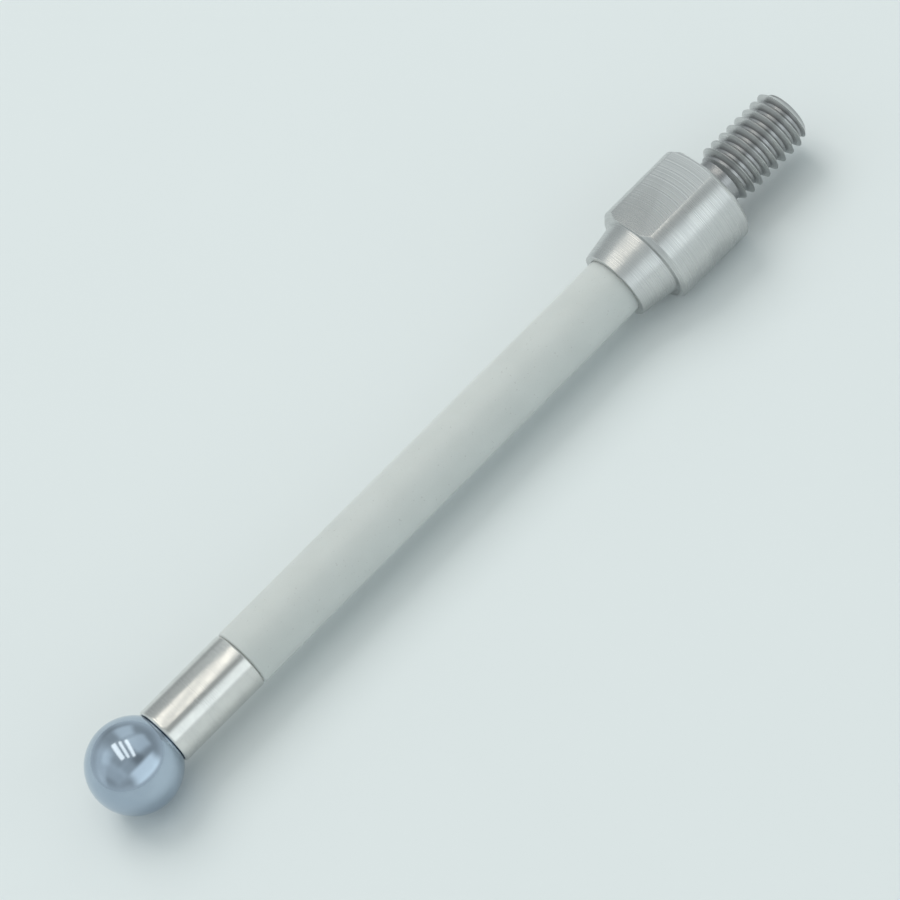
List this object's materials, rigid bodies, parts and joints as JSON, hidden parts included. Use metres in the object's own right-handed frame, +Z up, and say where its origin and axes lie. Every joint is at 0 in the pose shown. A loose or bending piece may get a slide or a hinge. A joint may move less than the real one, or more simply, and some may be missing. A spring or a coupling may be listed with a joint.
{
  "type": "touch probe tip",
  "caption": "Slender probe tip: a polished steel ball on a steel holder, bonded flush to a white ceramic stem with a threaded base and wrench flats.",
  "frame": {"origin": "on the tip's axis, in the plane of the seating shoulder", "axes": "+X along the axis from the ball towards the stud, +Z up with the wrench flats level"},
  "size_m": [0.06, 0.007, 0.006],
  "materials": {
    "ball": "polished blue-grey steel",
    "holder": "ground and polished steel",
    "stem": "ground white ceramic",
    "base": "turned steel"
  },
  "bodies": {
    "root": {"contact_ball": "ball", "ball_holder": "holder", "ceramic_stem": "stem", "threaded_base": "base"}
  },
  "joints": []
}
